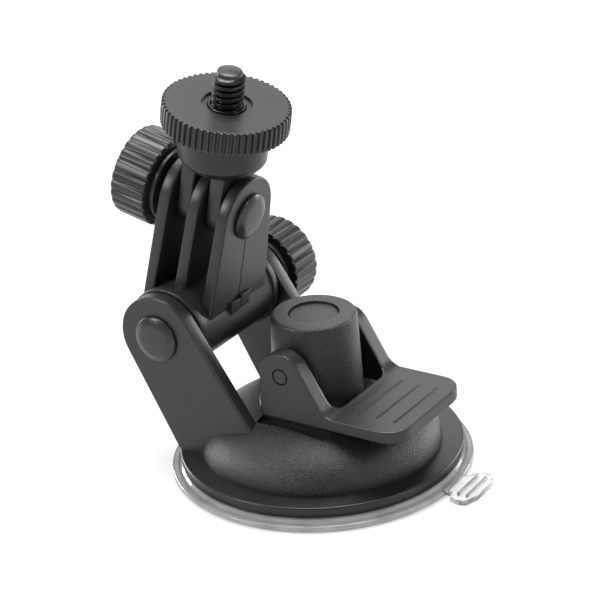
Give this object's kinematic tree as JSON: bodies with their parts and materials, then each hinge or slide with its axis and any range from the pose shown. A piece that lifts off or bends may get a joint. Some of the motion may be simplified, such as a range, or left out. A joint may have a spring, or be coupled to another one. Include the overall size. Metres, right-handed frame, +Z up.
{
  "type": "dash camera suction mount",
  "caption": "Suction cup mount for a dash camera: lever-locked cup, forked base, swinging link, tilting head and a 1/4-inch camera screw with a thumb wheel.",
  "frame": {"origin": "on the suction cup's axis, at the surface that the cup stands on", "axes": "+Z up along the cup's axis, +X towards the lever's pad, -Y towards the head of the lower bolt"},
  "size_m": [0.0796, 0.061, 0.0817],
  "materials": {
    "black_plastic": "satin moulded plastic, finely spark-eroded",
    "knob_plastic": "satin moulded plastic, fluted",
    "clear_cup": "clear soft plastic, glossy",
    "black_steel": "blackened steel",
    "bright_steel": "zinc-plated steel"
  },
  "bodies": {
    "base": {"base_housing": "black_plastic", "suction_cup": "clear_cup", "return_spring": "bright_steel", "lower_bolt": "black_steel", "lower_washer": "black_steel"},
    "stem": {"stem_post": "black_plastic", "cup_anchor": "black_plastic", "stem_screw": "bright_steel", "post_plug": "black_plastic"},
    "lever_arm": {"lever": "black_plastic", "lever_pin": "black_steel"},
    "lower_clamp": {"lower_knob": "knob_plastic", "lower_nut": "bright_steel"},
    "swing_link": {"link": "black_plastic", "upper_bolt": "black_steel", "upper_washer": "black_steel"},
    "upper_clamp": {"upper_knob": "knob_plastic", "upper_nut": "bright_steel"},
    "head": {"camera_holder": "black_plastic", "camera_screw": "black_steel"},
    "wheel": {"thumb_wheel": "knob_plastic", "wheel_insert": "black_steel"}
  },
  "joints": [
    {"name": "link_swing", "type": "hinge", "parent": "base", "child": "swing_link", "pos_m": [-0.0264, 0, 0.0287], "axis": [0, -1, 0], "range_deg": [-32, 100]},
    {"name": "head_tilt", "type": "hinge", "parent": "swing_link", "child": "head", "pos_m": [-0.0212, 0, 0.05233], "axis": [0.9767, 0, -0.2147], "range_deg": [-90, 90]},
    {"name": "lever_lift", "type": "hinge", "parent": "stem", "child": "lever_arm", "pos_m": [0, 0, 0.0242], "axis": [0, -1, 0], "range_deg": [0, 90]},
    {"name": "stem_slide", "type": "slide", "parent": "base", "child": "stem", "axis": [0, 0, 1], "range_m": [-0.003, 0], "deforming": ["return_spring", "suction_cup"]},
    {"name": "lower_knob_turn", "type": "hinge", "parent": "base", "child": "lower_clamp", "pos_m": [-0.0264, 0.0243, 0.0287], "axis": [0, 1, 0], "continuous": true},
    {"name": "upper_knob_turn", "type": "hinge", "parent": "swing_link", "child": "upper_clamp", "pos_m": [-0.0212, 0, 0.05233], "axis": [-0.9767, 0, 0.2147], "continuous": true},
    {"name": "wheel_turn", "type": "hinge", "parent": "head", "child": "wheel", "pos_m": [-0.0212, 0, 0.05233], "axis": [0.2146, -0.0384, 0.976], "continuous": true}
  ],
  "couplings": [
    {"joint": "lever_lift", "follows": "stem_slide", "rad_per_m": -523.6}
  ]
}
